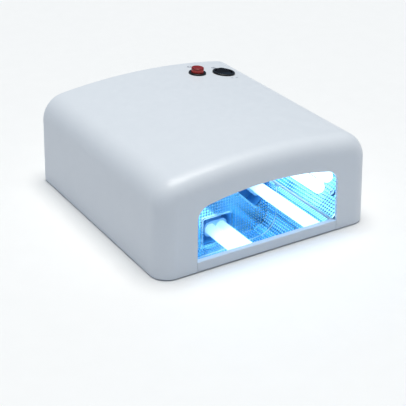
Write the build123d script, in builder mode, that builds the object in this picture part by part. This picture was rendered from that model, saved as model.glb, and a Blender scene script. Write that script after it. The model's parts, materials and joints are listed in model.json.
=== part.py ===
from build123d import *
import os
from math import cos, radians, sin, sqrt, tan

# A table-top gel nail lamp: a white moulded hood over an embossed aluminium tunnel, four
# twin-tube ultraviolet lamps around it, and a mirror tray that slides out of the front.
# Millimetres, +Z up. The origin is on the table, under the middle; -Y is the front.

os.makedirs("parts", exist_ok=True)

# ---------------------------------------------------------------- driving dimensions
WIDTH = 220.0
SHELL_DEPTH = 232.5
GLAND_STAND_OUT = 5.5
HEIGHT = 94.0
FOOT_GAP = 1.2
CROWN = 10.0
WALL = 2.5
SIDE_DRAFT = 1.8
FRONT_DRAFT = 1.3
SIDE_ROUND = 25.0
FRONT_ROUND = 16.5
REAR_ROUND = 5.0

MOUTH_HALF_WIDTH = 73.3
MOUTH_SIDE_TOP = (71.9, 59.0)
MOUTH_TOP = 67.8
MOUTH_CORNER = 13.6

TUNNEL_FOOT = (73.5, 9.5)
TUNNEL_KNEE = (95.5, 31.5)
TUNNEL_EAVES = 81.5
TUNNEL_TOP = 88.1
TUNNEL_CORNER = 21.8
KNEE_ROUND = 5.0
SHEET = 0.8
FLANGE_FRONT = 5.2
PANEL_FRONT = 18.8

MIRROR_TOP = 9.0
MIRROR_SHEET = 0.6
TRAY_HALF = 72.7
BAR_DEPTH = 5.9
BAR_TOP = 10.2

TUBE_TIP = -92.3
LEG_RADIUS = 5.8
LEG_SPACING = 12.6
GLASS_WALL = 0.9
BASE_FRONT = 21.9
BASE_LENGTH = 16.0
BASE_SIZE = (26.0, 16.0)
KEY_LENGTH = 20.5
KEY_SIZE = (13.0, 11.0)
PIN_SPACING = 20.0
PIN_RADIUS = 1.2

# Each lamp: name, centre x, centre z, tilt of its pair of legs, pocket width and height.
LAMPS = [
    ("left_side", -79.4, 34.2, -45.0, 32.5, 32.5),
    ("left_top", -33.3, 69.8, 0.0, 34.0, 29.3),
    ("right_top", 33.3, 69.8, 0.0, 34.0, 29.3),
    ("right_side", 79.4, 34.2, 45.0, 32.5, 32.5),
]

BUTTON_SPOT = (45.6, 78.2)
ROCKER_SPOT = (73.0, 72.4)
SPOTFACE = 0.4
BUTTON_BEZEL = 8.7
BUTTON_BARREL = 7.6
ROCKER_BEZEL = 11.4
ROCKER_BARREL = 10.0
BEZEL_HEIGHT = 2.0

GLAND_SPOT = (-64.0, 25.0)
GLAND_NECK = 6.0
GLAND_BORE = 3.4

# ---------------------------------------------------------------- worked-out places
FRONT = -(SHELL_DEPTH + GLAND_STAND_OUT) / 2
REAR = FRONT + SHELL_DEPTH
HALF = WIDTH / 2
SIDE_TOP = HEIGHT - CROWN
EAVES_HALF = HALF - (SIDE_TOP - FOOT_GAP) * tan(radians(SIDE_DRAFT))
CROWN_RADIUS = (EAVES_HALF**2 + CROWN**2) / (2 * CROWN)
GAP = 0.3
RIM = WALL + GAP
PLATE = 2.5
PLATE_TOP = FOOT_GAP + PLATE
BASE_BACK = BASE_FRONT + BASE_LENGTH
KEY_BACK = BASE_BACK + KEY_LENGTH
PANEL_BACK = PANEL_FRONT + SHEET


def save(piece, name):
    """Label a finished piece and write it as its own file."""
    piece.part.label = name
    export_step(piece.part, f"parts/{name}.step")


def upright(y):
    """The upright plane at depth y, seen from the front: x to the right, z up."""
    return Plane(origin=(0, y, 0), x_dir=(1, 0, 0), z_dir=(0, -1, 0))


def lamp_plane(lamp, y):
    """An upright plane centred on one lamp, its x axis running through both legs."""
    name, x, z, tilt, width, height = lamp
    along = (cos(radians(tilt)), 0, sin(radians(tilt)))
    return Plane(origin=(x, y, z), x_dir=along, z_dir=(0, -1, 0))


def crown_plane(spot, sink):
    """A plane parallel to the arched top at a spot, sunk below it by a depth."""
    x, y = spot
    lean = x / CROWN_RADIUS
    normal = Vector(sin(lean), 0, cos(lean))
    centre = Vector(0, y, HEIGHT - CROWN_RADIUS)
    origin = centre + normal * (CROWN_RADIUS - sink)
    return Plane(origin=origin, x_dir=(cos(lean), 0, -sin(lean)), z_dir=normal)


BUTTON_SEAT = crown_plane(BUTTON_SPOT, SPOTFACE)
ROCKER_SEAT = crown_plane(ROCKER_SPOT, SPOTFACE)

# ---------------------------------------------------------------- the hood
BOSS_RADIUS = 3.6
BOSS_TOP = 30.0
BOSS_SPOTS = [(-101.0, -101.5), (101.0, -101.5), (-101.0, 104.0), (101.0, 104.0)]
RIB_REACH = 4.5
BOSS_PILOT = 1.45
BOSS_SCREW_DEPTH = 14.0

with BuildPart() as top_shell:
    with BuildSketch(upright(FRONT)):
        with BuildLine():
            Polyline(
                (-EAVES_HALF, SIDE_TOP),
                (-HALF, FOOT_GAP),
                (HALF, FOOT_GAP),
                (EAVES_HALF, SIDE_TOP),
            )
            ThreePointArc((EAVES_HALF, SIDE_TOP), (0, HEIGHT), (-EAVES_HALF, SIDE_TOP))
        make_face()
    extrude(amount=-SHELL_DEPTH)
    fillet(top_shell.edges().filter_by(Axis.Y).sort_by(Axis.Z)[-2:], SIDE_ROUND)
    # The front face leans back a little; the rear face is upright.
    with BuildSketch(Plane.YZ):
        with BuildLine():
            Polyline(
                (FRONT, FOOT_GAP),
                (REAR, FOOT_GAP),
                (REAR, HEIGHT),
                (FRONT + (HEIGHT - FOOT_GAP) * tan(radians(FRONT_DRAFT)), HEIGHT),
                close=True,
            )
        make_face()
    extrude(amount=WIDTH, both=True, mode=Mode.INTERSECT)
    front_rim = top_shell.faces().sort_by(Axis.Y)[0].edges().sort_by(Axis.Z)[1:]
    fillet(front_rim, FRONT_ROUND)
    rear_rim = top_shell.faces().sort_by(Axis.Y)[-1].edges().sort_by(Axis.Z)[1:]
    fillet(rear_rim, REAR_ROUND)
    offset(amount=-WALL, openings=top_shell.faces().sort_by(Axis.Z)[0])
    # Screw bosses in the corners, each tied to the side wall by a rib.
    with BuildSketch(Plane.XY.offset(PLATE_TOP)):
        with Locations(*BOSS_SPOTS):
            Circle(BOSS_RADIUS)
        with Locations(*[(x + RIB_REACH * (1 if x > 0 else -1), y) for x, y in BOSS_SPOTS]):
            Rectangle(5.5, 2)
    extrude(amount=BOSS_TOP - PLATE_TOP)
    with BuildSketch(Plane.XY.offset(PLATE_TOP)):
        with Locations(*BOSS_SPOTS):
            Circle(BOSS_PILOT)
    extrude(amount=BOSS_SCREW_DEPTH, mode=Mode.SUBTRACT)
    # The arched hand opening, rounded at its two shoulders.
    with BuildSketch(upright(FRONT - 1)):
        with BuildLine():
            Polyline(
                (-MOUTH_SIDE_TOP[0], MOUTH_SIDE_TOP[1]),
                (-MOUTH_HALF_WIDTH, 0),
                (MOUTH_HALF_WIDTH, 0),
                MOUTH_SIDE_TOP,
            )
            ThreePointArc(MOUTH_SIDE_TOP, (0, MOUTH_TOP), (-MOUTH_SIDE_TOP[0], MOUTH_SIDE_TOP[1]))
        mouth = make_face()
        fillet(mouth.vertices().sort_by(Axis.Y)[-2:], MOUTH_CORNER)
    extrude(amount=-12, mode=Mode.SUBTRACT)
    # Round holes and flat seats for the two switches, and the cord gland's hole.
    for seat, bezel, barrel in (
        (BUTTON_SEAT, BUTTON_BEZEL, BUTTON_BARREL),
        (ROCKER_SEAT, ROCKER_BEZEL, ROCKER_BARREL),
    ):
        with BuildSketch(seat):
            Circle(bezel + GAP)
        extrude(amount=3, mode=Mode.SUBTRACT)
        with BuildSketch(seat.offset(-5)):
            Circle(barrel + GAP / 2)
        extrude(amount=6, mode=Mode.SUBTRACT)
    with BuildSketch(upright(REAR - 5)):
        with Locations(GLAND_SPOT):
            Circle(GLAND_NECK)
    extrude(amount=-6, mode=Mode.SUBTRACT)
save(top_shell, "top_shell")


# ---------------------------------------------------------------- the reflector tunnel
def tunnel_outline():
    """The closed cross-section inside the tunnel: foot, sloped walls, arched ceiling."""
    foot_x, foot_z = TUNNEL_FOOT
    knee_x, knee_z = TUNNEL_KNEE
    with BuildSketch() as outline:
        with BuildLine():
            Polyline(
                (-knee_x, TUNNEL_EAVES),
                (-knee_x, knee_z),
                (-foot_x, foot_z),
                (foot_x, foot_z),
                (knee_x, knee_z),
                (knee_x, TUNNEL_EAVES),
            )
            ThreePointArc((knee_x, TUNNEL_EAVES), (0, TUNNEL_TOP), (-knee_x, TUNNEL_EAVES))
        section = make_face()
        corners = section.vertices().sort_by(Axis.Y)
        fillet(corners[-2:], TUNNEL_CORNER)
        fillet(outline.vertices().filter_by(lambda v: abs(v.Y - knee_z) < 1e-3), KNEE_ROUND)
    return outline.sketch


def grown(sketch, amount):
    """A copy of a sketch with its outline moved out by an amount, or in if negative."""
    with BuildSketch() as copy:
        add(sketch)
        offset(amount=amount)
    return copy.sketch


def pocket_outline(lamp):
    """The opening round one lamp's base, kept inside the tunnel's cross-section."""
    name, x, z, tilt, width, height = lamp
    with BuildSketch() as pocket:
        with Locations((x, z)):
            RectangleRounded(width, height, 2.6, rotation=tilt)
        add(POCKET_LIMIT, mode=Mode.INTERSECT)
    return pocket.sketch


FLANGE_FIT = 0.1
TUNNEL = tunnel_outline()
TUNNEL_OUTSIDE = grown(TUNNEL, SHEET)
FLANGE_OUTSIDE = grown(TUNNEL, -FLANGE_FIT)
FLANGE_INSIDE = grown(TUNNEL, -FLANGE_FIT - SHEET)
POCKET_LIMIT = grown(TUNNEL, -1.6)
POCKETS = [pocket_outline(lamp) for lamp in LAMPS]

SLANT = TUNNEL_FOOT[0] - TUNNEL_FOOT[1]
TUNNEL_FRONT = -112.5
TUNNEL_FRONT_TOP = -104.0
SCREW_X = 87.2
SCREW_DEPTHS = (-93.0, -7.0)
SLANT_PLANES = [
    Plane(
        origin=(side * SCREW_X, depth, SCREW_X - SLANT),
        x_dir=(0, 1, 0),
        z_dir=(-side, 0, 1),
    )
    for side in (-1, 1)
    for depth in SCREW_DEPTHS
]
SCREW_SHANK = 1.25
SCREW_CLEAR = 1.6

with BuildPart() as tunnel_liner:
    with BuildSketch(upright(TUNNEL_FRONT)):
        add(TUNNEL_OUTSIDE)
        add(TUNNEL, mode=Mode.SUBTRACT)
        with Locations((0, TUNNEL_FOOT[1])):
            Rectangle(WIDTH, 4, align=(Align.CENTER, Align.MAX), mode=Mode.SUBTRACT)
    extrude(amount=TUNNEL_FRONT - PANEL_FRONT + 0.4)
    # The roof starts further back, clear of the hood's rounded brow.
    with BuildSketch(Plane.YZ):
        with BuildLine():
            Polyline(
                (FRONT, 60),
                (TUNNEL_FRONT, 60),
                (TUNNEL_FRONT_TOP, 86),
                (TUNNEL_FRONT_TOP, HEIGHT),
                (FRONT, HEIGHT),
                close=True,
            )
        make_face()
    extrude(amount=WIDTH, both=True, mode=Mode.SUBTRACT)
    for plane in SLANT_PLANES:
        with BuildSketch(plane.offset(-2)):
            Circle(SCREW_CLEAR)
        extrude(amount=4, mode=Mode.SUBTRACT)
save(tunnel_liner, "tunnel_liner")

TONGUE_HALF = 61.0
TONGUE_BOTTOM = 5.0
TAB_SPOTS = [(-48.0, 26.0), (0.0, 26.0), (48.0, 26.0)]
TAB_HEIGHT = 9.0
LIP_WIDTH = 0.7
LIP_HEIGHT = 0.9

with BuildPart() as rear_reflector:
    # The pressed face with its four lamp pockets and a tongue down behind the tray.
    with BuildSketch(upright(PANEL_FRONT)):
        add(FLANGE_OUTSIDE)
        with Locations((0, TONGUE_BOTTOM)):
            Rectangle(2 * TONGUE_HALF, 8, align=(Align.CENTER, Align.MIN))
        for pocket in POCKETS:
            add(pocket, mode=Mode.SUBTRACT)
    extrude(amount=-SHEET)
    # A raised lip round each pocket.
    with BuildSketch(upright(PANEL_FRONT)):
        for pocket in POCKETS:
            add(grown(pocket, LIP_WIDTH))
        for pocket in POCKETS:
            add(pocket, mode=Mode.SUBTRACT)
    extrude(amount=LIP_HEIGHT)
    # The forward flange that laps inside the tunnel.
    with BuildSketch(upright(FLANGE_FRONT)):
        add(FLANGE_OUTSIDE)
        add(FLANGE_INSIDE, mode=Mode.SUBTRACT)
        with Locations((0, TUNNEL_FOOT[1])):
            Rectangle(WIDTH, 2, align=(Align.CENTER, Align.CENTER), mode=Mode.SUBTRACT)
    extrude(amount=FLANGE_FRONT - PANEL_FRONT)
    # Three tabs bent back for the screws into the base.
    with BuildSketch(Plane.XY.offset(TAB_HEIGHT)):
        for x, y in TAB_SPOTS:
            with Locations((x, (PANEL_FRONT + y + 4) / 2)):
                Rectangle(9, y + 4 - PANEL_FRONT)
            with Locations((x, y)):
                Circle(SCREW_CLEAR, mode=Mode.SUBTRACT)
    extrude(amount=SHEET)
save(rear_reflector, "rear_reflector")

# ---------------------------------------------------------------- the base
CUTOUT_HALF = 62.5
CUTOUT_BACK = 11.0
RAIL_INNER = 73.2
RAIL_WIDTH = 2.0
RAIL_TOP = 8.9
WEDGE_INNER = 79.5
WEDGE_OUTER = 96.0
WEDGE_TOP = 28.0
WEDGE_LENGTH = 10.0
WEDGE_SLANT = SLANT + (SHEET + 0.15) * sqrt(2)
BOARD_SIZE = (156.0, 44.0, 1.6)
BOARD_Y = 86.0
BOARD_BOTTOM = 12.0
POST_SPOTS = [(-72.0, 68.5), (72.0, 68.5), (-72.0, 103.5), (72.0, 103.5)]
HEAD_RADIUS = 2.9
HEAD_HEIGHT = 1.5

with BuildPart() as base_plate:
    with BuildSketch(Plane.XY.offset(FOOT_GAP)) as plate:
        with Locations((0, (FRONT + REAR) / 2)):
            Rectangle(WIDTH - 2 * RIM, SHELL_DEPTH - 2 * RIM)
        fillet(plate.vertices().sort_by(Axis.Y)[:2], FRONT_ROUND - RIM)
        fillet(plate.vertices().sort_by(Axis.Y)[-2:], REAR_ROUND - RIM)
        # Open under the tray, and notched for the tray's front bar.
        with Locations((0, CUTOUT_BACK)):
            Rectangle(2 * CUTOUT_HALF, 200, align=(Align.CENTER, Align.MAX), mode=Mode.SUBTRACT)
        with Locations((0, FRONT + BAR_DEPTH + GAP)):
            Rectangle(2 * MOUTH_HALF_WIDTH, 20, align=(Align.CENTER, Align.MAX), mode=Mode.SUBTRACT)
        # Cooling slots below the lamp holders and the circuit board.
        with Locations((0, BOARD_Y)):
            with GridLocations(9, 0, 13, 1):
                SlotOverall(30, 3.2, rotation=90, mode=Mode.SUBTRACT)
        with Locations((0, 46)):
            with GridLocations(9, 0, 17, 1):
                SlotOverall(20, 3.2, rotation=90, mode=Mode.SUBTRACT)
    extrude(amount=PLATE)
    # Rails each side of the tray.
    with BuildSketch(Plane.XY.offset(PLATE_TOP)):
        for side in (-1, 1):
            with Locations((side * (RAIL_INNER + RAIL_WIDTH / 2), (FRONT + RIM + PANEL_FRONT) / 2)):
                Rectangle(RAIL_WIDTH, PANEL_FRONT - FRONT - RIM)
    extrude(amount=RAIL_TOP - PLATE_TOP)
    # Wedges that carry the sloped lower walls of the tunnel.
    for side in (-1, 1):
        for depth in SCREW_DEPTHS:
            with BuildSketch(upright(depth)):
                with BuildLine():
                    Polyline(
                        (side * WEDGE_INNER, PLATE_TOP),
                        (side * WEDGE_INNER, WEDGE_INNER - WEDGE_SLANT),
                        (side * (WEDGE_TOP + WEDGE_SLANT), WEDGE_TOP),
                        (side * WEDGE_OUTER, WEDGE_TOP),
                        (side * WEDGE_OUTER, PLATE_TOP),
                        close=True,
                    )
                make_face()
            extrude(amount=WEDGE_LENGTH / 2, both=True)
    for plane in SLANT_PLANES:
        with BuildSketch(plane):
            Circle(SCREW_SHANK + 0.05)
        extrude(amount=-9, mode=Mode.SUBTRACT)
    # Posts for the reflector's tabs and for the circuit board.
    for spots, top, radius in ((TAB_SPOTS, TAB_HEIGHT, 3.5), (POST_SPOTS, BOARD_BOTTOM, 3.0)):
        with BuildSketch(Plane.XY.offset(PLATE_TOP)):
            with Locations(*spots):
                Circle(radius)
                Circle(SCREW_SHANK + 0.05, mode=Mode.SUBTRACT)
        extrude(amount=top - PLATE_TOP)
    # Countersunk seats for the four corner screws.
    with BuildSketch(Plane.XY.offset(FOOT_GAP)):
        with Locations(*BOSS_SPOTS):
            Circle(HEAD_RADIUS + GAP)
    extrude(amount=HEAD_HEIGHT, mode=Mode.SUBTRACT)
    with BuildSketch(Plane.XY.offset(FOOT_GAP)):
        with Locations(*BOSS_SPOTS):
            Circle(SCREW_CLEAR)
    extrude(amount=PLATE, mode=Mode.SUBTRACT)
save(base_plate, "base_plate")

FOOT_RADIUS = 6.5
FEET = {
    "front_left_foot": (-88.0, -96.0),
    "front_right_foot": (88.0, -96.0),
    "rear_left_foot": (-88.0, 93.0),
    "rear_right_foot": (88.0, 93.0),
}

for name, spot in FEET.items():
    with BuildPart() as foot:
        with BuildSketch():
            with Locations(spot):
                Circle(FOOT_RADIUS)
        extrude(amount=FOOT_GAP)
        chamfer(foot.faces().sort_by(Axis.Z)[0].edges(), 0.6)
    save(foot, name)

# ---------------------------------------------------------------- the slide-out tray
TRAY_FLOOR = 2.2
TRAY_BACK = PANEL_FRONT - 0.6
FLOOR_TOP = MIRROR_TOP - MIRROR_SHEET
BAR_BOTTOM = FOOT_GAP + 0.2
SKIRT_WIDTH = 9.0
RIM_WIDTH = 2.0

with BuildPart() as slide_tray:
    with BuildSketch(Plane.YZ):
        with BuildLine():
            bar_back = FRONT + BAR_DEPTH
            Polyline(
                (FRONT, BAR_BOTTOM),
                (FRONT + (BAR_TOP - FOOT_GAP) * tan(radians(FRONT_DRAFT)), BAR_TOP),
                (bar_back, BAR_TOP),
                (bar_back, FLOOR_TOP),
                (TRAY_BACK, FLOOR_TOP),
                (TRAY_BACK, FLOOR_TOP - TRAY_FLOOR),
                (bar_back, FLOOR_TOP - TRAY_FLOOR),
                (bar_back, BAR_BOTTOM),
                close=True,
            )
        make_face()
    extrude(amount=TRAY_HALF, both=True)
    bar_edges = slide_tray.edges().filter_by(Axis.X).group_by(Axis.Z)[-1]
    fillet(bar_edges, 0.9)
    # A raised rim along each side of the mirror.
    with BuildSketch(Plane.XY.offset(FLOOR_TOP)):
        for side in (-1, 1):
            with Locations((side * (TRAY_HALF - RIM_WIDTH / 2), (bar_back + TRAY_BACK) / 2)):
                Rectangle(RIM_WIDTH, TRAY_BACK - bar_back)
    extrude(amount=BAR_TOP - 0.2 - FLOOR_TOP)
    # Skirts that run on the base, and stiffening ribs between them.
    with BuildSketch(Plane.XY.offset(PLATE_TOP + 0.1)):
        for side in (-1, 1):
            with Locations((side * (TRAY_HALF - SKIRT_WIDTH / 2), (bar_back + TRAY_BACK) / 2)):
                Rectangle(SKIRT_WIDTH, TRAY_BACK - bar_back)
        with Locations((0, (bar_back + CUTOUT_BACK) / 2 - 2)):
            with GridLocations(24, 0, 5, 1):
                Rectangle(1.6, CUTOUT_BACK - bar_back - 4)
    extrude(amount=FLOOR_TOP - TRAY_FLOOR - PLATE_TOP - 0.1)
    # A finger recess under the bar.
    with BuildSketch(Plane.XY.offset(BAR_BOTTOM)):
        with Locations((0, bar_back)):
            SlotOverall(50, 7)
    extrude(amount=3, mode=Mode.SUBTRACT)
save(slide_tray, "slide_tray")

with BuildPart() as tray_mirror:
    with BuildSketch(Plane.XY.offset(FLOOR_TOP)):
        with Locations((0, (bar_back + TRAY_BACK) / 2)):
            Rectangle(2 * (TRAY_HALF - RIM_WIDTH) - 0.4, TRAY_BACK - bar_back - 0.4)
    extrude(amount=MIRROR_SHEET)
save(tray_mirror, "tray_mirror")

# ---------------------------------------------------------------- lamps and their holders
SEAT_DEPTH = 4.0
BRIDGE_RADIUS = 3.6
BRIDGE_BACK = 8.2
TIP_ROUND = 4.6
PIN_LENGTH = 7.0
PIN_ROOT = 3.0
HOLDER_WALL = 1.3
HOLDER_FRONT = PANEL_BACK + 0.05
HOLDER_SEAT = BASE_BACK + 0.3
HOLDER_BACK = HOLDER_SEAT + 2.0
BLOCK_BACK = HOLDER_BACK + 8.0
KEY_FIT = 0.3
SOCKET_BACK = KEY_BACK + 2.2
SLEEVE_OUTER = 1.7
SLEEVE_INNER = 1.26

for lamp, pocket in zip(LAMPS, POCKETS):
    name = lamp[0]

    with BuildPart() as tube_glass:
        with BuildSketch(lamp_plane(lamp, TUBE_TIP)):
            with GridLocations(LEG_SPACING, 0, 2, 1):
                Circle(LEG_RADIUS)
        extrude(amount=TUBE_TIP - BASE_FRONT - SEAT_DEPTH)
        fillet(tube_glass.faces().sort_by(Axis.Y)[:2].edges(), TIP_ROUND)
        across = lamp_plane(lamp, TUBE_TIP + BRIDGE_BACK)
        bridge = Plane(origin=across.origin, x_dir=across.z_dir, z_dir=across.x_dir)
        with BuildSketch(bridge):
            Circle(BRIDGE_RADIUS)
        extrude(amount=LEG_SPACING / 2, both=True)
        with BuildSketch(lamp_plane(lamp, TUBE_TIP + 3 * GLASS_WALL)):
            with GridLocations(LEG_SPACING, 0, 2, 1):
                Circle(LEG_RADIUS - GLASS_WALL)
        extrude(amount=-200, mode=Mode.SUBTRACT)
        with BuildSketch(bridge):
            Circle(BRIDGE_RADIUS - GLASS_WALL)
        extrude(amount=LEG_SPACING / 2, both=True, mode=Mode.SUBTRACT)
    save(tube_glass, f"{name}_tube")

    with BuildPart() as tube_base:
        with BuildSketch(lamp_plane(lamp, BASE_FRONT)):
            RectangleRounded(*BASE_SIZE, 5)
        extrude(amount=-BASE_LENGTH)
        with BuildSketch(lamp_plane(lamp, BASE_BACK)):
            RectangleRounded(*KEY_SIZE, 1.2)
        extrude(amount=-KEY_LENGTH)
        with BuildSketch(lamp_plane(lamp, BASE_FRONT)):
            with GridLocations(LEG_SPACING, 0, 2, 1):
                Circle(LEG_RADIUS + 0.03)
        extrude(amount=-SEAT_DEPTH, mode=Mode.SUBTRACT)
        with BuildSketch(lamp_plane(lamp, BASE_BACK)):
            with GridLocations(PIN_SPACING, 0, 2, 1):
                Circle(PIN_RADIUS + 0.03)
        extrude(amount=PIN_ROOT, mode=Mode.SUBTRACT)
    save(tube_base, f"{name}_tube_base")

    with BuildPart() as tube_pins:
        with BuildSketch(lamp_plane(lamp, BASE_BACK - PIN_ROOT)):
            with GridLocations(PIN_SPACING, 0, 2, 1):
                Circle(PIN_RADIUS)
        extrude(amount=-PIN_ROOT - PIN_LENGTH)
        chamfer(tube_pins.faces().sort_by(Axis.Y)[-2:].edges(), 0.4)
    save(tube_pins, f"{name}_tube_pins")

    with BuildPart() as holder:
        with BuildSketch(upright(HOLDER_FRONT)):
            add(pocket)
            offset(amount=HOLDER_WALL)
        extrude(amount=HOLDER_FRONT - HOLDER_BACK)
        with BuildSketch(upright(HOLDER_FRONT)):
            add(pocket)
        extrude(amount=HOLDER_FRONT - HOLDER_SEAT, mode=Mode.SUBTRACT)
        with BuildSketch(lamp_plane(lamp, HOLDER_BACK)):
            RectangleRounded(PIN_SPACING + 8, 15.5, 2)
        extrude(amount=HOLDER_BACK - BLOCK_BACK)
        with BuildSketch(lamp_plane(lamp, BLOCK_BACK)):
            RectangleRounded(KEY_SIZE[0] + 4.5, KEY_SIZE[1] + 4.5, 2)
        extrude(amount=BLOCK_BACK - SOCKET_BACK)
        with BuildSketch(lamp_plane(lamp, HOLDER_SEAT)):
            Rectangle(KEY_SIZE[0] + 2 * KEY_FIT, KEY_SIZE[1] + 2 * KEY_FIT)
        extrude(amount=HOLDER_SEAT - KEY_BACK - 0.6, mode=Mode.SUBTRACT)
        with BuildSketch(lamp_plane(lamp, HOLDER_SEAT)):
            with GridLocations(PIN_SPACING, 0, 2, 1):
                Circle(SLEEVE_OUTER + 0.02)
        extrude(amount=HOLDER_SEAT - BLOCK_BACK + 1, mode=Mode.SUBTRACT)
    save(holder, f"{name}_lamp_holder")

with BuildPart() as contact_sleeves:
    for lamp in LAMPS:
        with BuildSketch(lamp_plane(lamp, HOLDER_SEAT + 0.6)):
            with GridLocations(PIN_SPACING, 0, 2, 1):
                Circle(SLEEVE_OUTER)
                Circle(SLEEVE_INNER, mode=Mode.SUBTRACT)
        extrude(amount=-8)
save(contact_sleeves, "contact_sleeves")

# ---------------------------------------------------------------- the start push-button
CAP_RADIUS = 6.25
CAP_TOP = 6.7
CAP_SKIRT = -1.0
RECESS_FLOOR = -4.0
GUIDE_BOTTOM = -7.0
STEM_RADIUS = 2.5
STEM_END = -10.0
CAVITY_FLOOR = -13.0
BUTTON_BOTTOM = -14.5
SPRING_RADIUS = 3.9
SPRING_WIRE = 0.35
SPRING_TOP = 3.2
BLADE = (2.8, 0.8)

with BuildPart() as button_housing:
    with BuildSketch(BUTTON_SEAT):
        Circle(BUTTON_BEZEL)
    extrude(amount=BEZEL_HEIGHT)
    fillet(button_housing.faces().sort_by(Axis.Z)[-1].edges(), 0.7)
    with BuildSketch(BUTTON_SEAT):
        Circle(BUTTON_BARREL)
    extrude(amount=BUTTON_BOTTOM)
    with BuildSketch(BUTTON_SEAT.offset(RECESS_FLOOR)):
        Circle(CAP_RADIUS + 0.2)
    extrude(amount=BEZEL_HEIGHT - RECESS_FLOOR, mode=Mode.SUBTRACT)
    with BuildSketch(BUTTON_SEAT.offset(CAVITY_FLOOR)):
        Circle(5.2)
    extrude(amount=GUIDE_BOTTOM - CAVITY_FLOOR, mode=Mode.SUBTRACT)
    with BuildSketch(BUTTON_SEAT.offset(GUIDE_BOTTOM)):
        Circle(STEM_RADIUS + 0.08)
    extrude(amount=RECESS_FLOOR - GUIDE_BOTTOM, mode=Mode.SUBTRACT)
    with BuildSketch(BUTTON_SEAT.offset(BUTTON_BOTTOM)):
        with GridLocations(6, 0, 2, 1):
            Rectangle(BLADE[1] + 0.06, BLADE[0] + 0.06)
    extrude(amount=CAVITY_FLOOR - BUTTON_BOTTOM, mode=Mode.SUBTRACT)
save(button_housing, "button_housing")

with BuildPart() as button_cap:
    with BuildSketch(BUTTON_SEAT.offset(CAP_SKIRT)):
        Circle(CAP_RADIUS)
    extrude(amount=CAP_TOP - CAP_SKIRT)
    fillet(button_cap.faces().sort_by(Axis.Z)[-1].edges(), 0.9)
    with BuildSketch(BUTTON_SEAT.offset(CAP_SKIRT)):
        Circle(4.7)
    extrude(amount=SPRING_TOP - CAP_SKIRT, mode=Mode.SUBTRACT)
    with BuildSketch(BUTTON_SEAT.offset(STEM_END)):
        Circle(STEM_RADIUS)
    extrude(amount=SPRING_TOP - STEM_END)
    # A shallow dish where the finger presses.
    with Locations(BUTTON_SEAT.offset(CAP_TOP + 24.4)):
        Sphere(25, mode=Mode.SUBTRACT)
save(button_cap, "button_cap")

with BuildPart() as button_retainer:
    with BuildSketch(BUTTON_SEAT.offset(GUIDE_BOTTOM - 1.1)):
        Circle(4.2)
        Circle(STEM_RADIUS + 0.02, mode=Mode.SUBTRACT)
    extrude(amount=1)
save(button_retainer, "button_retainer")

with BuildPart() as button_spring:
    coil_height = SPRING_TOP - RECESS_FLOOR - 2 * SPRING_WIRE - 0.1
    coil_radius = SPRING_RADIUS - SPRING_WIRE
    coil_foot = BUTTON_SEAT.offset(RECESS_FLOOR + SPRING_WIRE + 0.05)
    with BuildLine():
        coil = Helix(coil_height / 5, coil_height, coil_radius, coil_foot.origin, coil_foot.z_dir)
    with BuildSketch(Plane(origin=coil @ 0, z_dir=coil % 0)):
        Circle(SPRING_WIRE)
    sweep(path=coil, is_frenet=True)
save(button_spring, "button_spring")

with BuildPart() as button_nut:
    with BuildSketch(BUTTON_SEAT.offset(-5.6)):
        RegularPolygon(10.2, 6, major_radius=False)
        Circle(BUTTON_BARREL + 0.05, mode=Mode.SUBTRACT)
    extrude(amount=3)
save(button_nut, "button_nut")

with BuildPart() as button_terminals:
    with BuildSketch(BUTTON_SEAT.offset(-22)):
        with GridLocations(6, 0, 2, 1):
            Rectangle(BLADE[1], BLADE[0])
    extrude(amount=22 + CAVITY_FLOOR)
save(button_terminals, "button_terminals")

# ---------------------------------------------------------------- the timer rocker switch
ROCKER_WELL = 9.0
ROCKER_PIVOT = -2.0
ROCKER_FLOOR = -11.5
ROCKER_BOTTOM = -13.0
PADDLE_RADIUS = 8.7
PADDLE_RISE = 1.0
PADDLE_SLOPE = 10.0
PIVOT_RADIUS = 0.8
ROCKER_PIVOT_PLANE = ROCKER_SEAT.offset(ROCKER_PIVOT)
ROCKER_AXLE = Plane(
    origin=ROCKER_PIVOT_PLANE.origin,
    x_dir=ROCKER_PIVOT_PLANE.y_dir,
    z_dir=ROCKER_PIVOT_PLANE.x_dir,
)

with BuildPart() as rocker_housing:
    with BuildSketch(ROCKER_SEAT):
        Circle(ROCKER_BEZEL)
    extrude(amount=BEZEL_HEIGHT)
    fillet(rocker_housing.faces().sort_by(Axis.Z)[-1].edges(), 0.8)
    with BuildSketch(ROCKER_SEAT):
        Circle(ROCKER_BARREL)
    extrude(amount=ROCKER_BOTTOM)
    with BuildSketch(ROCKER_SEAT.offset(ROCKER_FLOOR)):
        Circle(ROCKER_WELL)
    extrude(amount=BEZEL_HEIGHT - ROCKER_FLOOR, mode=Mode.SUBTRACT)
    # Snap wings that hold the body under the hood.
    with BuildSketch(ROCKER_SEAT.offset(-6)):
        with GridLocations(2 * ROCKER_BARREL, 0, 2, 1):
            Rectangle(2, 5)
    extrude(amount=3.4)
    with BuildSketch(ROCKER_SEAT.offset(-6)):
        Circle(ROCKER_BARREL - 0.5)
    extrude(amount=3.4, mode=Mode.SUBTRACT)
    with BuildSketch(ROCKER_SEAT.offset(-6)):
        Circle(ROCKER_BARREL)
        Circle(ROCKER_WELL, mode=Mode.SUBTRACT)
    extrude(amount=3.4)
    with BuildSketch(ROCKER_AXLE):
        Circle(PIVOT_RADIUS + 0.02)
    extrude(amount=ROCKER_BARREL - 0.3, both=True, mode=Mode.SUBTRACT)
    with BuildSketch(ROCKER_SEAT.offset(ROCKER_BOTTOM)):
        with GridLocations(0, 5, 1, 3):
            Rectangle(BLADE[0] + 0.06, BLADE[1] + 0.06)
    extrude(amount=ROCKER_FLOOR - ROCKER_BOTTOM, mode=Mode.SUBTRACT)
save(rocker_housing, "rocker_housing")

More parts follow.
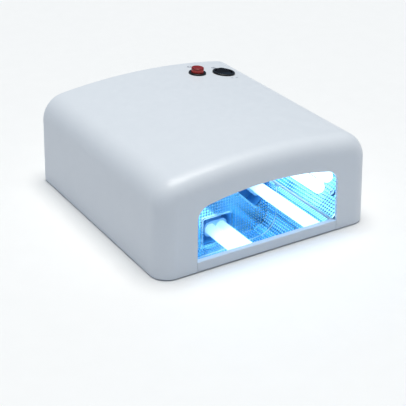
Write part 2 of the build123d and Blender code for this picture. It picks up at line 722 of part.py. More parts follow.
with BuildPart() as rocker_paddle:
    # Level shape: two faces that rise from the middle; at rest the front one is pressed in.
    with BuildSketch(ROCKER_AXLE):
        with BuildLine():
            rise = PADDLE_RISE - ROCKER_PIVOT
            reach = 10.0
            lift = reach * tan(radians(PADDLE_SLOPE))
            Polyline(
                (-reach, -3),
                (-1.5, -3),
                (-1.0, -7.5),
                (1.0, -7.5),
                (1.5, -3),
                (reach, -3),
                (reach, rise + lift),
                (0, rise),
                (-reach, rise + lift),
                close=True,
            )
        make_face()
    extrude(amount=PADDLE_RADIUS, both=True)
    with Locations(ROCKER_PIVOT_PLANE):
        Sphere(PADDLE_RADIUS, mode=Mode.INTERSECT)
    with BuildSketch(ROCKER_AXLE):
        Circle(PIVOT_RADIUS + 0.06)
    extrude(amount=PADDLE_RADIUS, both=True, mode=Mode.SUBTRACT)
ROCKER_LINE = Axis(ROCKER_PIVOT_PLANE.origin, ROCKER_PIVOT_PLANE.x_dir)
rocker_paddle.part = rocker_paddle.part.rotate(ROCKER_LINE, PADDLE_SLOPE)
save(rocker_paddle, "rocker_paddle")

with BuildPart() as rocker_pin:
    with BuildSketch(ROCKER_AXLE):
        Circle(PIVOT_RADIUS)
    extrude(amount=ROCKER_BARREL - 0.35, both=True)
save(rocker_pin, "rocker_pin")

with BuildPart() as rocker_terminals:
    with BuildSketch(ROCKER_SEAT.offset(-21)):
        with GridLocations(0, 5, 1, 3):
            Rectangle(*BLADE)
    extrude(amount=21 + ROCKER_FLOOR)
save(rocker_terminals, "rocker_terminals")

# ---------------------------------------------------------------- the cord gland
GLAND_INSIDE = 2.0

with BuildPart() as cord_gland:
    with BuildSketch(upright(REAR)):
        with Locations(GLAND_SPOT):
            Circle(8.5)
    extrude(amount=-GLAND_STAND_OUT)
    chamfer(cord_gland.faces().sort_by(Axis.Y)[-1].edges(), 1.4)
    with BuildSketch(upright(REAR)):
        with Locations(GLAND_SPOT):
            Circle(GLAND_NECK - 0.05)
    extrude(amount=WALL)
    with BuildSketch(upright(REAR - WALL)):
        with Locations(GLAND_SPOT):
            Circle(7.5)
    extrude(amount=GLAND_INSIDE)
    with BuildSketch(upright(REAR - WALL - GLAND_INSIDE)):
        with Locations(GLAND_SPOT):
            Circle(GLAND_BORE)
    extrude(amount=-10, mode=Mode.SUBTRACT)
save(cord_gland, "cord_gland")

# ---------------------------------------------------------------- the ballast board
BOARD_TOP = BOARD_BOTTOM + BOARD_SIZE[2]
CHOKE_SPOTS = [(x, 79.0) for x in (-54.0, -18.0, 18.0, 54.0)]
CHOKE_SIZE = (17.0, 13.0, 15.0)

with BuildPart() as ballast_board:
    with BuildSketch(Plane.XY.offset(BOARD_BOTTOM)):
        with Locations((0, BOARD_Y)):
            Rectangle(BOARD_SIZE[0], BOARD_SIZE[1])
        with Locations(*POST_SPOTS):
            Circle(SCREW_CLEAR, mode=Mode.SUBTRACT)
    extrude(amount=BOARD_SIZE[2])
save(ballast_board, "ballast_board")

with BuildPart() as choke_cores:
    with BuildSketch(Plane.XY.offset(BOARD_TOP)):
        with Locations(*CHOKE_SPOTS):
            Rectangle(CHOKE_SIZE[0], 6)
    extrude(amount=CHOKE_SIZE[2])
    with BuildSketch(Plane.XY.offset(BOARD_TOP + 3)):
        with Locations(*CHOKE_SPOTS):
            with GridLocations(9.6, 0, 2, 1):
                Rectangle(3.8, 6.2)
    extrude(amount=CHOKE_SIZE[2] - 6, mode=Mode.SUBTRACT)
save(choke_cores, "choke_cores")

with BuildPart() as choke_windings:
    with BuildSketch(Plane.XY.offset(BOARD_TOP + 3.1)):
        with Locations(*CHOKE_SPOTS):
            RectangleRounded(13.2, CHOKE_SIZE[1], 2.5)
            Rectangle(6, 6.1, mode=Mode.SUBTRACT)
    extrude(amount=CHOKE_SIZE[2] - 6.2)
save(choke_windings, "choke_windings")

with BuildPart() as smoothing_capacitors:
    with BuildSketch(Plane.XY.offset(BOARD_TOP)):
        with Locations((-36, 79), (0, 79)):
            Circle(5)
    extrude(amount=20)
    fillet(smoothing_capacitors.faces().sort_by(Axis.Z)[-2:].edges(), 0.6)
save(smoothing_capacitors, "smoothing_capacitors")

with BuildPart() as film_capacitors:
    with BuildSketch(Plane.XY.offset(BOARD_TOP)):
        with Locations((-38, 101), (-20, 101), (20, 101), (38, 101)):
            Rectangle(11, 5)
    extrude(amount=9)
    fillet(film_capacitors.faces().sort_by(Axis.Z)[-4:].edges(), 1)
save(film_capacitors, "film_capacitors")

with BuildPart() as power_transistors:
    with BuildSketch(Plane.XY.offset(BOARD_TOP)):
        with Locations((0, 92)):
            with GridLocations(12, 0, 8, 1):
                Rectangle(7.6, 3)
    extrude(amount=10)
save(power_transistors, "power_transistors")

with BuildPart() as mains_fuse:
    with BuildSketch(Plane(origin=(50, 101, BOARD_TOP + 3.4), z_dir=(1, 0, 0))):
        Circle(2.6)
    extrude(amount=15)
save(mains_fuse, "mains_fuse")

with BuildPart() as timer_relay:
    with BuildSketch(Plane.XY.offset(BOARD_TOP)):
        with Locations((-62, 93)):
            Rectangle(15, 10)
    extrude(amount=15)
    fillet(timer_relay.edges().filter_by(Axis.Z), 0.8)
save(timer_relay, "timer_relay")

with BuildPart() as timer_chip:
    with BuildSketch(Plane.XY.offset(BOARD_TOP)):
        with Locations((0, 103)):
            Rectangle(9.6, 6.4)
    extrude(amount=3.4)
save(timer_chip, "timer_chip")


# ---------------------------------------------------------------- internal leads
LAMP_LEAD_RADIUS = 1.5
SWITCH_LEAD_RADIUS = 0.9
LEAD_BEND = 3.0

lamp_routes = []
for name, x, z, tilt, width, height in LAMPS:
    down = [(x, 67, z), (x, 67, BOARD_TOP)]
    if tilt != 0:
        inboard = 62.0 if x > 0 else -62.0
        down = [(x, 67, z), (inboard, 67, 24), (inboard, 67, BOARD_TOP)]
    lamp_routes.append([(x, SOCKET_BACK, z)] + down)

switch_routes = []
for terminal, x, y in ((-3.0, 27.0, 86.0), (3.0, 32.0, 86.0)):
    start = BUTTON_SEAT.offset(-22.2).from_local_coords((terminal, 0, 0))
    switch_routes.append([start, (start.X, start.Y, 56), (x, y, 36), (x, y, BOARD_TOP)])
for terminal, x, y in ((-5.0, 69.0, 76.0), (0.0, 69.0, 81.0), (5.0, 69.0, 86.0)):
    start = ROCKER_SEAT.offset(-21.2).from_local_coords((0, terminal, 0))
    switch_routes.append([start, (start.X, start.Y, 54), (x, y, 38), (x, y, BOARD_TOP)])

for name, routes, radius in (
    ("lamp_leads", lamp_routes, LAMP_LEAD_RADIUS),
    ("switch_leads", switch_routes, SWITCH_LEAD_RADIUS),
):
    with BuildPart() as leads:
        for points in routes:
            with BuildLine() as route:
                FilletPolyline(*points, radius=LEAD_BEND)
            with BuildSketch(Plane(origin=route.line @ 0, z_dir=route.line % 0)):
                Circle(radius)
            sweep(path=route.line)
    save(leads, name)

# ---------------------------------------------------------------- screws
TAB_PLANES = [Plane(origin=(x, y, TAB_HEIGHT + SHEET)) for x, y in TAB_SPOTS]
BOARD_PLANES = [Plane(origin=(x, y, BOARD_TOP)) for x, y in POST_SPOTS]
BOSS_PLANES = [
    Plane(origin=(x, y, FOOT_GAP + HEAD_HEIGHT), x_dir=(1, 0, 0), z_dir=(0, 0, -1))
    for x, y in BOSS_SPOTS
]

for name, planes, length in (
    ("tunnel_screws", SLANT_PLANES, 8),
    ("reflector_screws", TAB_PLANES, 5),
    ("board_screws", BOARD_PLANES, 8),
    ("base_screws", BOSS_PLANES, 12),
):
    with BuildPart() as screws:
        for plane in planes:
            with BuildSketch(plane):
                Circle(HEAD_RADIUS)
            extrude(amount=HEAD_HEIGHT)
            with BuildSketch(plane):
                Circle(SCREW_SHANK)
            extrude(amount=-length)
            # The cross recess in the head.
            with BuildSketch(plane.offset(HEAD_HEIGHT - 0.8)):
                Rectangle(3.6, 0.9)
                Rectangle(0.9, 3.6)
            extrude(amount=2, mode=Mode.SUBTRACT)
    save(screws, name)
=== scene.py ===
import json
from math import atan2, cos, hypot, pi, radians, sin, sqrt, tan

import bpy
import numpy as np
from mathutils import Matrix, Vector


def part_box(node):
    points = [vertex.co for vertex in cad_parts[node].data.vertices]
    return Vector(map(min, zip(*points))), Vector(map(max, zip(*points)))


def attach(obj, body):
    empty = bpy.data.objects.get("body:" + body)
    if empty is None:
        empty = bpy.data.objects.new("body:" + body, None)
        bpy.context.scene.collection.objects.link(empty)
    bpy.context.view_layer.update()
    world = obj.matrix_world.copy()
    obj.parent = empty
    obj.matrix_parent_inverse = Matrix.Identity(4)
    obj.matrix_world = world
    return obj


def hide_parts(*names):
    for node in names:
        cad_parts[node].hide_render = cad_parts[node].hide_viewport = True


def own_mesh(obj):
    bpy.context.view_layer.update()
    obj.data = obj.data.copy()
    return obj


# The looks of a gel nail lamp: white moulded hood, embossed tunnel lit by four tubes, mirror
# tray, red button and black rocker. Metres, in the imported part's own frame.

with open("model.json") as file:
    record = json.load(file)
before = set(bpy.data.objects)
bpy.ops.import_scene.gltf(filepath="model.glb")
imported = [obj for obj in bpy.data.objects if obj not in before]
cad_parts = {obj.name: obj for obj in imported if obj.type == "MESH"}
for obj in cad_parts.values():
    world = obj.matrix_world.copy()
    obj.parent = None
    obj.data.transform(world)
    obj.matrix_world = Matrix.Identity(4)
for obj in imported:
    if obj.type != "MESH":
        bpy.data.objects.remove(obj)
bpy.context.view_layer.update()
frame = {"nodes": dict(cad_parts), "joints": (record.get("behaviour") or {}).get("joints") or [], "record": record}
MM = 0.001


# ---------------------------------------------------------------- materials
def shader(name):
    """A new node material: its node tree and its principled shader."""
    material = bpy.data.materials.new(name)
    material.use_nodes = True
    tree = material.node_tree
    return material, tree, tree.nodes["Principled BSDF"]


def noise(tree, scale, detail=3.0):
    """Cloudy variation over the object's own coordinates; scale is per metre."""
    coords = tree.nodes.new("ShaderNodeTexCoord")
    cloud = tree.nodes.new("ShaderNodeTexNoise")
    cloud.inputs["Scale"].default_value = scale
    cloud.inputs["Detail"].default_value = detail
    tree.links.new(coords.outputs["Object"], cloud.inputs["Vector"])
    return cloud.outputs["Fac"]


def remap(tree, value, low, high):
    """A noise value spread over a range of roughness, height or other numbers."""
    node = tree.nodes.new("ShaderNodeMapRange")
    node.inputs["From Min"].default_value = 0.3
    node.inputs["From Max"].default_value = 0.7
    node.inputs["To Min"].default_value = low
    node.inputs["To Max"].default_value = high
    tree.links.new(value, node.inputs["Value"])
    return node.outputs["Result"]


def blend_colours(tree, value, first, second):
    """Two colours mixed by a noise value."""
    node = tree.nodes.new("ShaderNodeMix")
    node.data_type = "RGBA"
    node.inputs["A"].default_value = (*first, 1)
    node.inputs["B"].default_value = (*second, 1)
    tree.links.new(remap(tree, value, 0, 1), node.inputs["Factor"])
    return node.outputs["Result"]


def bump(tree, surface, height, depth, strength=1.0):
    """Fine relief, depth in metres."""
    node = tree.nodes.new("ShaderNodeBump")
    node.inputs["Distance"].default_value = depth
    node.inputs["Strength"].default_value = strength
    tree.links.new(height, node.inputs["Height"])
    tree.links.new(node.outputs["Normal"], surface.inputs["Normal"])


def moulded(name, colour, other, rough, grain=2600.0, relief=0.00002, coat=0.0, gloss=0.5):
    """A moulded plastic or rubber: cloudy tint, uneven gloss and a fine grain."""
    material, tree, surface = shader(name)
    patches = noise(tree, 45.0)
    tree.links.new(blend_colours(tree, patches, colour, other), surface.inputs["Base Color"])
    wipes = noise(tree, 160.0, 5.0)
    tree.links.new(remap(tree, wipes, rough * 0.85, rough * 1.15), surface.inputs["Roughness"])
    bump(tree, surface, noise(tree, grain), relief)
    surface.inputs["Coat Weight"].default_value = coat
    surface.inputs["Specular IOR Level"].default_value = gloss
    return material


def metal(name, colour, other, rough, grain=1800.0, relief=0.00001):
    """A bare metal: cloudy tint, uneven gloss and fine marks."""
    material = moulded(name, colour, other, rough, grain, relief)
    surface = material.node_tree.nodes["Principled BSDF"]
    surface.inputs["Metallic"].default_value = 1.0
    return material


TUBE_LIGHT = (0.64, 0.90, 1.0)
TUBE_STRENGTH = 1.9
TUBE_ROOT_STRENGTH = 0.75
TUBE_ROOT = 0.020
TUBE_BRIGHT_FROM = -0.004


def lit_glass(name):
    """Phosphor-coated glass, lit from inside and dimmer near its base."""
    material = moulded(name, (0.42, 0.66, 0.90), (0.36, 0.60, 0.88), 0.18, 900.0)
    tree = material.node_tree
    surface = tree.nodes["Principled BSDF"]
    surface.inputs["Emission Color"].default_value = (*TUBE_LIGHT, 1)
    coords = tree.nodes.new("ShaderNodeTexCoord")
    split = tree.nodes.new("ShaderNodeSeparateXYZ")
    fade = tree.nodes.new("ShaderNodeMapRange")
    fade.interpolation_type = "SMOOTHSTEP"
    fade.inputs["From Min"].default_value = TUBE_BRIGHT_FROM
    fade.inputs["From Max"].default_value = TUBE_ROOT
    fade.inputs["To Min"].default_value = TUBE_STRENGTH
    fade.inputs["To Max"].default_value = TUBE_ROOT_STRENGTH
    tree.links.new(coords.outputs["Object"], split.inputs["Vector"])
    tree.links.new(split.outputs["Y"], fade.inputs["Value"])
    tree.links.new(fade.outputs["Result"], surface.inputs["Emission Strength"])
    return material


# Heights of the button cap between which the painted shade on its top face fades in.
CAP_FACE = 0.0975
CAP_SIDE = 0.0962


def red_with_painted_shade_top(name):
    """Red plastic with painted shade on the cap's top face, which is coloured darker than its side."""
    material, tree, surface = shader(name)
    coords = tree.nodes.new("ShaderNodeTexCoord")
    split = tree.nodes.new("ShaderNodeSeparateXYZ")
    rise = tree.nodes.new("ShaderNodeMapRange")
    rise.interpolation_type = "SMOOTHSTEP"
    rise.inputs["From Min"].default_value = CAP_SIDE
    rise.inputs["From Max"].default_value = CAP_FACE
    tree.links.new(coords.outputs["Object"], split.inputs["Vector"])
    tree.links.new(split.outputs["Z"], rise.inputs["Value"])
    tint = tree.nodes.new("ShaderNodeMix")
    tint.data_type = "RGBA"
    tree.links.new(rise.outputs["Result"], tint.inputs["Factor"])
    side = blend_colours(tree, noise(tree, 90.0), (0.72, 0.035, 0.022), (0.62, 0.028, 0.018))
    # The darker red is painted shade for the cap's top face.
    face = blend_colours(tree, noise(tree, 90.0), (0.30, 0.020, 0.016), (0.25, 0.016, 0.013))
    tree.links.new(side, tint.inputs["A"])
    tree.links.new(face, tint.inputs["B"])
    tree.links.new(tint.outputs["Result"], surface.inputs["Base Color"])
    tree.links.new(remap(tree, noise(tree, 160.0, 5.0), 0.26, 0.36), surface.inputs["Roughness"])
    bump(tree, surface, noise(tree, 2600.0), 0.00002)
    return material


def clear_glass(name):
    """Clear glass with faint marks."""
    material = moulded(name, (0.9, 0.93, 0.93), (0.82, 0.87, 0.87), 0.05, 400.0)
    surface = material.node_tree.nodes["Principled BSDF"]
    surface.inputs["Transmission Weight"].default_value = 0.9
    return material


MATERIALS = {
    "white_shell": moulded(
        "white_shell", (0.735, 0.775, 0.825), (0.745, 0.785, 0.835), 0.42, coat=0.1
    ),
    "white_base": moulded(
        "white_base", (0.66, 0.67, 0.69), (0.71, 0.72, 0.73), 0.55, 1500.0, 0.00006
    ),
    "white_tray": moulded(
        "white_tray", (0.72, 0.765, 0.83), (0.74, 0.785, 0.84), 0.34, coat=0.15
    ),
    "tray_mirror": metal("tray_mirror", (0.80, 0.88, 0.96), (0.84, 0.91, 0.97), 0.035, 30.0),
    "embossed_aluminium": metal("sheet_edges", (0.74, 0.86, 0.96), (0.70, 0.83, 0.95), 0.22),
    "tube_glass": lit_glass("tube_glass"),
    "tube_base_plastic": moulded(
        "tube_base_plastic", (0.34, 0.60, 0.86), (0.40, 0.66, 0.88), 0.22
    ),
    "brass": metal("brass", (0.78, 0.58, 0.25), (0.66, 0.47, 0.20), 0.3),
    "holder_plastic": moulded("holder_plastic", (0.14, 0.52, 0.90), (0.17, 0.56, 0.92), 0.4),
    "black_plastic": moulded(
        "black_plastic", (0.008, 0.008, 0.009), (0.013, 0.013, 0.014), 0.30, gloss=0.35
    ),
    "red_cap": red_with_painted_shade_top("red_cap"),
    "paddle_black": moulded(
        "paddle_black", (0.006, 0.006, 0.007), (0.011, 0.011, 0.012), 0.24, gloss=0.35
    ),
    "steel": metal("steel", (0.55, 0.56, 0.58), (0.42, 0.43, 0.45), 0.32),
    "rubber": moulded("rubber", (0.03, 0.03, 0.032), (0.045, 0.045, 0.047), 0.75, 1200.0, 0.0001),
    "gland_plastic": moulded("gland_plastic", (0.025, 0.025, 0.027), (0.04, 0.04, 0.042), 0.5),
    "board": moulded("board", (0.36, 0.22, 0.07), (0.30, 0.18, 0.06), 0.5),
    "ferrite": moulded("ferrite", (0.04, 0.04, 0.045), (0.07, 0.07, 0.075), 0.6, 900.0, 0.00008),
    "winding": metal("winding", (0.66, 0.28, 0.12), (0.50, 0.19, 0.08), 0.35, 2400.0, 0.00015),
    "capacitor_can": moulded("capacitor_can", (0.03, 0.05, 0.16), (0.04, 0.06, 0.20), 0.3),
    "film_capacitor": moulded("film_capacitor", (0.34, 0.07, 0.03), (0.42, 0.10, 0.04), 0.35),
    "chip_black": moulded("chip_black", (0.02, 0.02, 0.02), (0.035, 0.035, 0.035), 0.6),
    "fuse_glass": clear_glass("fuse_glass"),
    "relay_case": moulded("relay_case", (0.04, 0.14, 0.36), (0.05, 0.17, 0.42), 0.35),
    "lead_insulation": moulded("lead_insulation", (0.68, 0.70, 0.72), (0.60, 0.62, 0.64), 0.45),
}
INK = moulded("ink", (0.10, 0.12, 0.18), (0.13, 0.15, 0.21), 0.5)
EMBOSSED = metal("embossed_sheet", (0.36, 0.71, 0.94), (0.29, 0.64, 0.92), 0.12)
# A lighter copy of the embossed metal for the diamonds' tips: painted highlights, the glints of the tubes' light.
GLINT_TIPS_PAINTED = metal("painted_glint_tips", (0.86, 0.96, 1.0), (0.74, 0.92, 1.0), 0.38)

HEM = metal("polished_edge", (0.90, 0.96, 1.0), (0.84, 0.92, 0.99), 0.42)
SCREW_STEEL = metal("tunnel_screw_steel", (0.40, 0.50, 0.62), (0.32, 0.42, 0.55), 0.35)

for entry in frame["record"]["subparts"]:
    shown = frame["nodes"][entry["node"]]
    shown.data.materials.clear()
    shown.data.materials.append(MATERIALS[entry["material_slot"]])

# The heads of the tunnel's screws look bluer than bare steel.
screws = frame["nodes"]["tunnel_screws"]
screws.data.materials.clear()
screws.data.materials.append(SCREW_STEEL)


# ---------------------------------------------------------------- building pieces
def piece(name, points, faces, material, body, smooth=False):
    """A mesh object that rides on a CAD body, with the material it is given."""
    mesh = bpy.data.meshes.new(name)
    mesh.from_pydata(points, [], faces)
    mesh.validate()
    mesh.materials.append(material)
    if smooth:
        mesh.shade_smooth()
    made = bpy.data.objects.new(name, mesh)
    bpy.context.scene.collection.objects.link(made)
    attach(made, body)
    return made


# ---------------------------------------------------------------- embossed aluminium
SHEET = 0.8 * MM
# The diamonds: grid step, height, clearance over the sheet, and the share of each that is a lighter tip, a painted
# highlight.
PITCH = 1.55 * MM
PEAK = 0.95 * MM
LIFT = 0.05 * MM
TIP = 0.5
TIP_LIFT = 0.02 * MM

LINER_LOW, LINER_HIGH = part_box("tunnel_liner")
HALF = LINER_HIGH[0] - SHEET
FOOT_Z = LINER_LOW[2]
CROWN_Z = LINER_HIGH[2] - SHEET
SLANT = 64.0 * MM
CROWN_RISE = 6.6 * MM
CORNER = 21.8 * MM
KNEE = 5.0 * MM
FLANGE = 13.6 * MM
FLANGE_INSET = 0.9 * MM
BEAD = 0.42 * MM
BEAD_SIDES = 8
KNEE_POINTS = 12
ARC_POINTS = 60
EDGE_GAP = 0.3 * MM
# The roof of the liner starts further back than its sides.
ROOF_FROM = 60.0 * MM
ROOF_RISE = 26.0 * MM
ROOF_LAG = 8.5 * MM
# Where the flange's pattern starts and ends, and how far it keeps from the pockets' lips.
FLANGE_START = 0.9 * MM
FLANGE_END = 0.2 * MM
FLANGE_FOOT = 1.2 * MM
LIP_REACH = 1.1 * MM
LIP_MARGIN = 1.8 * MM
PANEL_MARGIN = 0.95 * MM
POCKET_MARGIN = 0.8 * MM

CROWN_RADIUS = (HALF**2 + CROWN_RISE**2) / (2 * CROWN_RISE)
CROWN_CENTRE = CROWN_Z - CROWN_RADIUS
CORNER_X = HALF - CORNER
CORNER_Z = CROWN_CENTRE + sqrt((CROWN_RADIUS - CORNER) ** 2 - CORNER_X**2)
CORNER_END = atan2(CORNER_Z - CROWN_CENTRE, CORNER_X)
KNEE_X = HALF - KNEE
KNEE_Z = HALF - SLANT + KNEE * (sqrt(2) - 1)
PANEL_Y = LINER_HIGH[1] + 0.4 * MM


def arc(x, z, radius, start, end, count):
    """Points along an arc in the cross-section; angles in radians from +X towards +Z."""
    angles = np.linspace(start, end, count)
    return [(x + radius * cos(a), z + radius * sin(a)) for a in angles]


def tunnel_path():
    """The inside of the tunnel in cross-section, from the right foot to the left foot."""
    right = [(FOOT_Z + SLANT, FOOT_Z)]
    right += arc(KNEE_X, KNEE_Z, KNEE, -pi / 4, 0, KNEE_POINTS)
    right += arc(CORNER_X, CORNER_Z, CORNER, 0, CORNER_END, ARC_POINTS)
    right += arc(0, CROWN_CENTRE, CROWN_RADIUS, CORNER_END, pi / 2, ARC_POINTS)
    return np.array(right + [(-x, z) for x, z in reversed(right[:-1])])


def pyramids(name, columns, rows, place, keep):
    """Rows of small raised diamonds: every second crossing of a fine grid is a peak."""
    points = [
        place(i, j, PEAK if i % 2 and j % 2 else 0.0)
        for j in range(rows + 1)
        for i in range(columns + 1)
    ]
    faces = []
    for j in range(rows):
        for i in range(columns):
            a = j * (columns + 1) + i
            b, c, d = a + 1, a + columns + 2, a + columns + 1
            if not all(keep(points[k]) for k in (a, b, c, d)):
                continue
            if (i + j) % 2:
                faces += [(a, c, b), (a, d, c)]
            else:
                faces += [(a, d, b), (b, d, c)]
    used = sorted({k for face in faces for k in face})
    place_of = {k: n for n, k in enumerate(used)}
    points = [points[k] for k in used]
    faces = [tuple(place_of[k] for k in face) for face in faces]
    piece(name, points, faces, EMBOSSED, "housing")
    add_painted_glints(name, columns, rows, place, keep)


def add_painted_glints(name, columns, rows, place, keep):
    """Painted highlights on the diamonds: a small, lighter pyramid on the top of each larger one."""
    points, faces = [], []
    for j in range(1, rows, 2):
        for i in range(1, columns, 2):
            around = [(i - TIP, j), (i, j - TIP), (i + TIP, j), (i, j + TIP)]
            tip = place(i, j, PEAK + TIP_LIFT)
            edge = [place(u, v, PEAK * (1 - TIP) + TIP_LIFT) for u, v in around]
            if not all(keep(point) for point in [tip, *edge]):
                continue
            first = len(points)
            points += [tip, *edge]
            faces += [(first, first + 1 + k, first + 1 + (k + 1) % 4) for k in range(4)]
    piece(name + "_tips", points, faces, GLINT_TIPS_PAINTED, "housing")


def emboss_walls(name, front, back, inset, keep):
    """The diamond pattern round the walls of the tunnel between two depths."""
    path = tunnel_path()
    runs = np.hypot(*np.diff(path, axis=0).T)
    along = np.concatenate([[0.0], np.cumsum(runs)])
    columns = int(along[-1] / PITCH)
    step = along[-1] / columns
    rows = int((back - front) / PITCH)

    def at(u):
        return Vector((np.interp(u, along, path[:, 0]), np.interp(u, along, path[:, 1])))

    def place(i, j, height):
        u = i * step
        tangent = (at(min(u + step, along[-1])) - at(max(u - step, 0.0))).normalized()
        inward = Vector((-tangent[1], tangent[0]))
        x, z = at(u) + inward * (inset + LIFT + height)
        return Vector((x, back - (rows - j) * PITCH, z))

    pyramids(name, columns, rows, place, keep)


def emboss_tunnel():
    """The pattern over the inside of the tunnel, from its front to the panel's flange."""
    front = LINER_LOW[1] + EDGE_GAP

    def keep(point):
        lag = min(max((point.z - ROOF_FROM) / ROOF_RISE, 0.0), 1.0)
        return point.y >= front + lag * ROOF_LAG

    emboss_walls("tunnel_embossing", front, PANEL_Y - FLANGE, 0.0, keep)


def emboss_flange():
    """The same pattern on the panel's flange, which laps inside the tunnel."""
    front = PANEL_Y - FLANGE + FLANGE_START
    back = PANEL_Y - FLANGE_END

    def keep(point):
        by_a_lip = point.y > PANEL_Y - LIP_REACH and in_pocket(point.x, point.z, LIP_MARGIN)
        return point.z > FOOT_Z + FLANGE_FOOT and not by_a_lip

    emboss_walls("flange_embossing", front, back, FLANGE_INSET, keep)


def in_tunnel(x, z, margin):
    """Whether a point of the cross-section lies inside the tunnel by a margin."""
    side = abs(x)
    if z < FOOT_Z + margin or side > HALF - margin or side - z > SLANT - margin * sqrt(2):
        return False
    if side > CORNER_X and z > CORNER_Z:
        return hypot(side - CORNER_X, z - CORNER_Z) < CORNER - margin
    return hypot(x, z - CROWN_CENTRE) < CROWN_RADIUS - margin


# Each pocket in the rear panel: centre x and z, tilt, half width and half height.
POCKETS = [
    (-79.4 * MM, 34.2 * MM, -45, 16.25 * MM, 16.25 * MM),
    (-33.3 * MM, 69.8 * MM, 0, 17.0 * MM, 14.65 * MM),
    (33.3 * MM, 69.8 * MM, 0, 17.0 * MM, 14.65 * MM),
    (79.4 * MM, 34.2 * MM, 45, 16.25 * MM, 16.25 * MM),
]


def in_pocket(x, z, margin):
    """Whether a point of the rear panel falls in one of its four openings."""
    for centre_x, centre_z, tilt, half_width, half_height in POCKETS:
        turned = Matrix.Rotation(-radians(tilt), 2) @ Vector((x - centre_x, z - centre_z))
        if abs(turned[0]) < half_width + margin and abs(turned[1]) < half_height + margin:
            return True
    return False


def emboss_panel():
    """The diamond pattern over the rear panel, clear of its pockets and its bent rim."""
    columns = int(2 * HALF / PITCH)
    rows = int((CROWN_Z - FOOT_Z) / PITCH)

    def place(i, j, height):
        x = -HALF + i * PITCH
        return Vector((x, PANEL_Y - LIFT - height, FOOT_Z + j * PITCH))

    def keep(point):
        x, z = point.x, point.z
        return in_tunnel(x, z, PANEL_MARGIN) and not in_pocket(x, z, POCKET_MARGIN)

    pyramids("rear_embossing", columns, rows, place, keep)


def hem_flange():
    """The rolled front edge of the flange, a thin bright bead round the tunnel."""
    path = tunnel_path()
    points, faces = [], []
    for n, (x, z) in enumerate(path):
        ahead = path[min(n + 1, len(path) - 1)] - path[max(n - 1, 0)]
        inward = Vector((-ahead[1], ahead[0])).normalized()
        for k in range(BEAD_SIDES):
            turn = 2 * pi * k / BEAD_SIDES
            lift = FLANGE_INSET / 2 + BEAD * cos(turn)
            depth = PANEL_Y - FLANGE - BEAD + BEAD * sin(turn)
            points.append((x + inward[0] * lift, depth, z + inward[1] * lift))
    for n in range(len(path) - 1):
        for k in range(BEAD_SIDES):
            a, b = n * BEAD_SIDES + k, n * BEAD_SIDES + (k + 1) % BEAD_SIDES
            faces.append((a, b, b + BEAD_SIDES, a + BEAD_SIDES))
    piece("flange_hem", points, faces, HEM, "housing", smooth=True)


emboss_tunnel()
emboss_flange()
emboss_panel()
hem_flange()


def fit_button_spring():
    """A copy of the button's return spring, riding on the housing in place of the CAD spring."""
    solid = frame["nodes"]["button_spring"].data
    points = [vertex.co.copy() for vertex in solid.vertices]
    faces = [tuple(face.vertices) for face in solid.polygons]
    steel = MATERIALS["steel"]
    spring = piece("return_spring", points, faces, steel, "housing", smooth=True)
    press = next(joint for joint in frame["joints"] if joint["name"] == "start_button_press")
    inward = Vector(press["axis"]).normalized()
    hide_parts("button_spring")
    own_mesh(spring)


fit_button_spring()


# ---------------------------------------------------------------- printed marks
SHELL_LOW, SHELL_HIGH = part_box("top_shell")
SHELL_CROWN = 10.0 * MM
SIDE_DRAFT = radians(1.8)
EAVES = SHELL_HIGH[0] - (SHELL_HIGH[2] - SHELL_CROWN - SHELL_LOW[2]) * tan(SIDE_DRAFT)
HOOD_RADIUS = (EAVES**2 + SHELL_CROWN**2) / (2 * SHELL_CROWN)
INK_LIFT = 0.05 * MM
INK_WIDTH = 0.6 * MM
RING_POINTS = 25
# Where each mark stands on the hood, in plan, and how large it is.
POWER_SPOT = (48.2 * MM, 98.0 * MM)
TIMER_SPOT = (71.2 * MM, 88.6 * MM)
DASHES_SPOT = (75.3 * MM, 56.0 * MM)
MARK_RADIUS = 1.9 * MM
DASH_INNER = 1.5 * MM
DASH_OUTER = 4.0 * MM


def on_hood(x, y):
    """A point of the hood's arched top, just above its surface."""
    radius = HOOD_RADIUS + INK_LIFT
    lean = x / HOOD_RADIUS
    return Vector((radius * sin(lean), y, SHELL_HIGH[2] - HOOD_RADIUS + radius * cos(lean)))


def stroke(points, faces, line):
    """A printed line through the given spots of the hood, in metres."""
    for (x0, y0), (x1, y1) in zip(line, line[1:]):
        run = hypot(x1 - x0, y1 - y0)
        side_x = -(y1 - y0) / run * INK_WIDTH / 2
        side_y = (x1 - x0) / run * INK_WIDTH / 2
        first = len(points)
        points += [
            on_hood(x0 - side_x, y0 - side_y),
            on_hood(x1 - side_x, y1 - side_y),
            on_hood(x1 + side_x, y1 + side_y),
            on_hood(x0 + side_x, y0 + side_y),
        ]
        faces.append((first, first + 1, first + 2, first + 3))


def ring(x, y, radius, start, end):
    """Spots along an arc on the hood."""
    return [(x + radius * cos(a), y + radius * sin(a)) for a in np.linspace(start, end, RING_POINTS)]


def print_mark(name, lines):
    """One printed symbol made of lines."""
    points, faces = [], []
    for line in lines:
        stroke(points, faces, line)
    piece(name, points, faces, INK, "housing")


def print_marks():
    """A power sign by the button, a clock by the rocker and two dashes before it."""
    size = MARK_RADIUS
    x, y = POWER_SPOT
    broken_ring = ring(x, y, size, radians(125), radians(415))
    print_mark("power_mark", [broken_ring, [(x, y + 0.2 * size), (x, y + 1.3 * size)]])
    x, y = TIMER_SPOT
    hands = [(x, y + 0.7 * size), (x, y), (x + 0.5 * size, y)]
    print_mark("timer_mark", [ring(x, y, size, 0, 2 * pi), hands])
    x, y = DASHES_SPOT
    dashes = [[(x + turn * DASH_INNER, y), (x + turn * DASH_OUTER, y)] for turn in (-1, 1)]
    print_mark("position_marks", dashes)


print_marks()


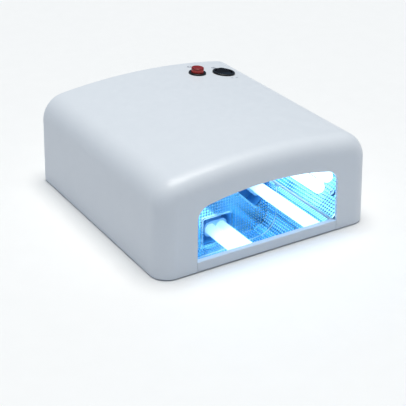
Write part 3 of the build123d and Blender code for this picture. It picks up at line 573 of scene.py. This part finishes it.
# ---------------------------------------------------------------- camera, light and floor
CAMERA_AZIMUTH = radians(-31.58)
CAMERA_ELEVATION = radians(27.46)
CAMERA_ROLL = radians(0.34)
CAMERA_DISTANCE = 1.0518
CAMERA_AIM = Vector((0.0048, -0.00025, -0.0068))
CAMERA_LENS = 97.06
CAMERA_SENSOR = 36.0
CAMERA_FAR = 20.0
SKY_COLOUR = (0.38, 0.63, 1.0)
SKY_STRENGTH = 0.20
CEILING_ENERGY = 3.1
CEILING_SPREAD = radians(40)
CEILING_COLOUR = (1.0, 0.975, 0.91)
CEILING_AIM = Vector((-0.05, -0.02, -1.0))
FLOOR_REACH = 6.0


def stand_camera():
    """The camera; its focal length and sensor are in millimetres."""
    data = bpy.data.cameras.new("camera")
    data.lens = CAMERA_LENS
    data.sensor_width = CAMERA_SENSOR
    data.clip_end = CAMERA_FAR
    camera = bpy.data.objects.new("camera", data)
    bpy.context.scene.collection.objects.link(camera)
    level = cos(CAMERA_ELEVATION)
    side, forward = sin(CAMERA_AZIMUTH) * level, -cos(CAMERA_AZIMUTH) * level
    back = Vector((side, forward, sin(CAMERA_ELEVATION)))
    turn = back.to_track_quat("Z", "Y").to_matrix().to_4x4()
    roll = Matrix.Rotation(CAMERA_ROLL, 4, "Z")
    camera.matrix_world = Matrix.Translation(CAMERA_AIM + back * CAMERA_DISTANCE) @ turn @ roll
    bpy.context.scene.camera = camera


def light_room():
    """A dim bluish room with one large soft light almost straight above."""
    world = bpy.data.worlds.new("studio")
    world.use_nodes = True
    background = world.node_tree.nodes["Background"]
    background.inputs["Color"].default_value = (*SKY_COLOUR, 1)
    background.inputs["Strength"].default_value = SKY_STRENGTH
    bpy.context.scene.world = world
    ceiling = bpy.data.lights.new("ceiling_light", "SUN")
    ceiling.energy = CEILING_ENERGY
    ceiling.angle = CEILING_SPREAD
    ceiling.color = CEILING_COLOUR
    lamp = bpy.data.objects.new("ceiling_light", ceiling)
    bpy.context.scene.collection.objects.link(lamp)
    lamp.rotation_euler = CEILING_AIM.to_track_quat("-Z", "Y").to_euler()


def lay_floor():
    """A plain pale floor, wide enough to fill every view."""
    corners = [
        (-FLOOR_REACH, -FLOOR_REACH, 0),
        (FLOOR_REACH, -FLOOR_REACH, 0),
        (FLOOR_REACH, FLOOR_REACH, 0),
        (-FLOOR_REACH, FLOOR_REACH, 0),
    ]
    mesh = bpy.data.meshes.new("floor")
    mesh.from_pydata(corners, [], [(0, 1, 2, 3)])
    paint = moulded("floor_paint", (0.88, 0.88, 0.88), (0.89, 0.89, 0.89), 0.7, 60.0)
    mesh.materials.append(paint)
    floor = bpy.data.objects.new("floor", mesh)
    bpy.context.scene.collection.objects.link(floor)


stand_camera()
light_room()
lay_floor()
bpy.context.scene.view_settings.view_transform = "Standard"
